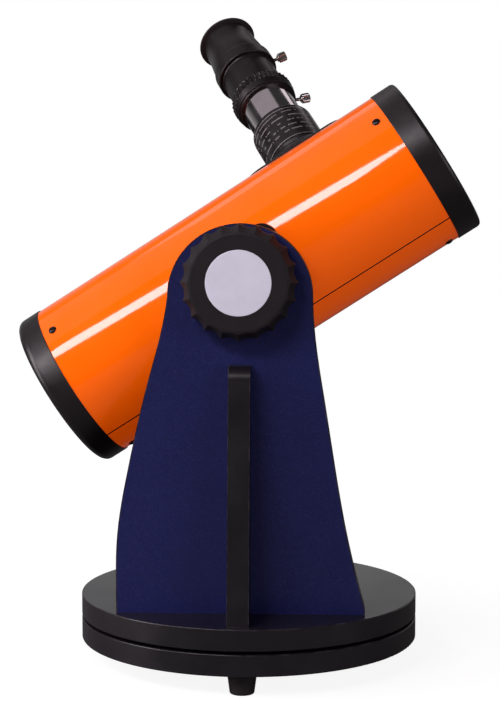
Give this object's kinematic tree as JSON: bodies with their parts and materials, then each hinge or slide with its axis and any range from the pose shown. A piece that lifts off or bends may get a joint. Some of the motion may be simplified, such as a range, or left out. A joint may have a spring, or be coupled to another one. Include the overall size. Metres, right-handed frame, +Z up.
{
  "type": "newtonian reflector telescope",
  "caption": "Tabletop reflector telescope: short tube on a one-arm turntable base, with tilt knob, push-pull focuser and eyepiece.",
  "frame": {"origin": "on the azimuth axis, in the plane the three feet stand on", "axes": "+Z up along the azimuth axis; +X towards the side the open front of the tube points to at rest; -Y towards the side arm and its knob"},
  "size_m": [0.2794, 0.2607, 0.4015],
  "materials": {
    "black_board": "semi-gloss laminate",
    "black_edging": "semi-gloss",
    "blue_board": "fine speckled laminate",
    "rubber_feet": "matte",
    "black_screws": "black oxide",
    "zinc_steel": "zinc plated",
    "slip_plastic": "slippery white plastic",
    "black_plastic": "satin",
    "grey_disc": "satin",
    "orange_paint": "gloss enamel",
    "front_silvered": "polished",
    "anodised": "black anodised",
    "chrome_tube": "polished",
    "felt": "felt",
    "label_film": "printed film",
    "lens_glass": "coated",
    "thumb_steel": "knurled",
    "brass": "machined"
  },
  "bodies": {
    "base": {"base_board": "black_board", "base_edge_band": "black_edging", "foot_near": "rubber_feet", "foot_front": "rubber_feet", "foot_rear": "rubber_feet", "foot_screws": "zinc_steel", "glide_pads": "slip_plastic", "azimuth_bolt": "zinc_steel", "azimuth_washer": "zinc_steel", "azimuth_nut": "zinc_steel"},
    "turntable": {"turntable_board": "black_board", "turntable_edge_band": "black_edging", "side_arm": "blue_board", "arm_edge_band": "black_edging", "arm_rib": "black_board", "rib_edge_band": "black_edging", "arm_screws": "zinc_steel", "altitude_bush": "slip_plastic", "outer_washer": "slip_plastic", "inner_washer": "slip_plastic"},
    "tube": {"tube_shell": "orange_paint", "front_ring": "black_plastic", "rear_cap": "black_plastic", "tube_screws": "black_screws", "saddle_screws": "black_screws", "mirror_cell": "black_plastic", "mirror_pads": "felt", "main_mirror": "front_silvered", "mirror_clips": "black_plastic", "clip_screws": "black_screws", "secondary_mirror": "front_silvered", "secondary_holder": "black_plastic", "spider": "black_plastic", "secondary_bolt": "zinc_steel", "collimation_screws": "zinc_steel", "altitude_bracket": "black_plastic", "bracket_screws": "zinc_steel", "stud_insert": "brass", "focuser_housing": "black_plastic", "friction_liner": "felt", "data_label": "label_film"},
    "knob": {"altitude_knob": "black_plastic", "knob_disc": "grey_disc", "altitude_stud": "zinc_steel"},
    "drawtube": {"drawtube": "chrome_tube", "drawtube_ring": "anodised"},
    "lower_screw": {"lower_thumbscrew": "thumb_steel"},
    "extension": {"extension_nosepiece": "chrome_tube", "extension_body": "anodised", "knurled_ring": "black_plastic", "extension_collar": "anodised", "extension_lens": "lens_glass", "extension_lens_ring": "anodised"},
    "upper_screw": {"upper_thumbscrew": "thumb_steel"},
    "eyepiece": {"eyepiece_barrel": "chrome_tube", "eyepiece_body": "anodised", "eyecup": "rubber_feet", "field_lens": "lens_glass", "field_lens_ring": "anodised", "eye_lens": "lens_glass"}
  },
  "joints": [
    {"name": "azimuth_turn", "type": "hinge", "parent": "base", "child": "turntable", "pos_m": [0, 0, 0.04], "axis": [0, 0, 1], "continuous": true},
    {"name": "altitude_tilt", "type": "hinge", "parent": "turntable", "child": "tube", "pos_m": [-0.0022, 0.005, 0.2326], "axis": [0, -1, 0], "range_deg": [-32, 57]},
    {"name": "altitude_knob_turn", "type": "hinge", "parent": "tube", "child": "knob", "pos_m": [-0.0022, -0.07, 0.2326], "axis": [0, -1, 0], "continuous": true},
    {"name": "focus_slide", "type": "slide", "parent": "tube", "child": "drawtube", "axis": [-0.381, 0.7071, 0.5957], "range_m": [-0.024, 0.02]},
    {"name": "lower_thumbscrew_turn", "type": "hinge", "parent": "drawtube", "child": "lower_screw", "pos_m": [0.0077, 0.09045, 0.34036], "axis": [0.9215, 0.3428, 0.1824], "continuous": true},
    {"name": "extension_lift", "type": "slide", "parent": "drawtube", "child": "extension", "axis": [-0.381, 0.7071, 0.5957], "range_m": [0, 0.045]},
    {"name": "upper_thumbscrew_turn", "type": "hinge", "parent": "extension", "child": "upper_screw", "pos_m": [-0.00714, 0.118, 0.36357], "axis": [0.9066, 0.1591, 0.391], "continuous": true},
    {"name": "eyepiece_lift", "type": "slide", "parent": "extension", "child": "eyepiece", "axis": [-0.381, 0.7071, 0.5957], "range_m": [0, 0.04]}
  ]
}
